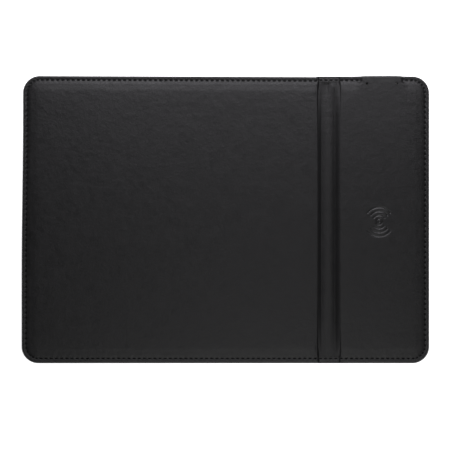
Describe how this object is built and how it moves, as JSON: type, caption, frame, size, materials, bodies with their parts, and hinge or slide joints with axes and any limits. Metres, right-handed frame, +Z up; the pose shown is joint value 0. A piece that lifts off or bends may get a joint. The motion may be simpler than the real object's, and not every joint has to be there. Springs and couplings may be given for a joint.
{
  "type": "folding desk mat with wireless charging panel",
  "caption": "Black stitched leather mouse mat with a creased spine and a wireless charging panel for a phone on its right side.",
  "frame": {"origin": "centre of the outline, on the underside that rests on the desk", "axes": "+X points right, to the charging panel; +Y points away from the user, to the edge with the USB socket; +Z is up, out of the leather surface"},
  "size_m": [0.315, 0.2214, 0.006],
  "materials": {
    "cover_leather": "black PU leather, fine pebble grain, soft satin",
    "underside_suede": "black non-slip micro-suede, matt",
    "foam": "grey closed-cell foam",
    "fibreboard": "raw compressed fibreboard",
    "thread": "black bonded polyester thread",
    "housing_plastic": "black moulded plastic, fine spark texture",
    "circuit_laminate": "green solder mask",
    "enamelled_copper": "enamelled copper wire",
    "ferrite": "grey sintered ferrite",
    "plated_steel": "nickel-plated steel",
    "gold_contact": "gold-plated contact",
    "chip_epoxy": "black moulded epoxy",
    "chip_ceramic": "tan ceramic with tinned ends",
    "led_package": "white package",
    "smoked_light_pipe": "smoked clear plastic"
  },
  "bodies": {
    "mouse_panel": {"mouse_bottom_cover": "underside_suede", "mouse_board": "fibreboard", "mouse_foam_layer": "foam", "mouse_top_cover": "cover_leather", "mouse_needle_thread": "thread", "mouse_bobbin_thread": "thread"},
    "spine": {"spine_bottom_cover": "underside_suede", "spine_stiffener": "fibreboard", "spine_top_cover": "cover_leather", "spine_front_needle_thread": "thread", "spine_back_needle_thread": "thread", "spine_front_bobbin_thread": "thread", "spine_back_bobbin_thread": "thread", "left_gutter_leather": "cover_leather", "right_gutter_leather": "cover_leather"},
    "charging_panel": {"charging_top_cover": "cover_leather", "charging_bottom_cover": "underside_suede", "charging_board": "fibreboard", "charging_side_needle_thread": "thread", "charging_side_bobbin_thread": "thread", "charging_front_needle_thread": "thread", "charging_front_bobbin_thread": "thread", "charging_back_needle_thread": "thread", "charging_back_bobbin_thread": "thread", "port_housing_tray": "housing_plastic", "port_housing_lid": "housing_plastic", "usb_tongue": "housing_plastic", "circuit_board": "circuit_laminate", "transmitter_coil": "enamelled_copper", "coil_inner_lead": "enamelled_copper", "coil_outer_lead": "enamelled_copper", "ferrite_shield": "ferrite", "usb_shell": "plated_steel", "usb_contact_1": "gold_contact", "usb_contact_2": "gold_contact", "usb_contact_3": "gold_contact", "usb_contact_4": "gold_contact", "usb_contact_5": "gold_contact", "controller_ic": "chip_epoxy", "bridge_mosfet_1": "chip_epoxy", "bridge_mosfet_2": "chip_epoxy", "current_sense_resistor": "chip_epoxy", "resonant_capacitor_1": "chip_ceramic", "resonant_capacitor_2": "chip_ceramic", "resonant_capacitor_3": "chip_ceramic", "resonant_capacitor_4": "chip_ceramic", "input_capacitor_1": "chip_ceramic", "input_capacitor_2": "chip_ceramic", "indicator_led_1": "led_package", "indicator_led_2": "led_package", "light_pipe_1": "smoked_light_pipe", "light_pipe_2": "smoked_light_pipe"}
  },
  "joints": [
    {"name": "spine_fold", "type": "hinge", "parent": "mouse_panel", "child": "spine", "pos_m": [0.0735, 0, 0.0008], "axis": [0, -1, 0], "range_deg": [0, 90], "deforming": ["left_gutter_leather"]},
    {"name": "charging_panel_fold", "type": "hinge", "parent": "spine", "child": "charging_panel", "pos_m": [0.0861, 0, 0.0008], "axis": [0, -1, 0], "range_deg": [0, 90], "deforming": ["right_gutter_leather"]}
  ]
}
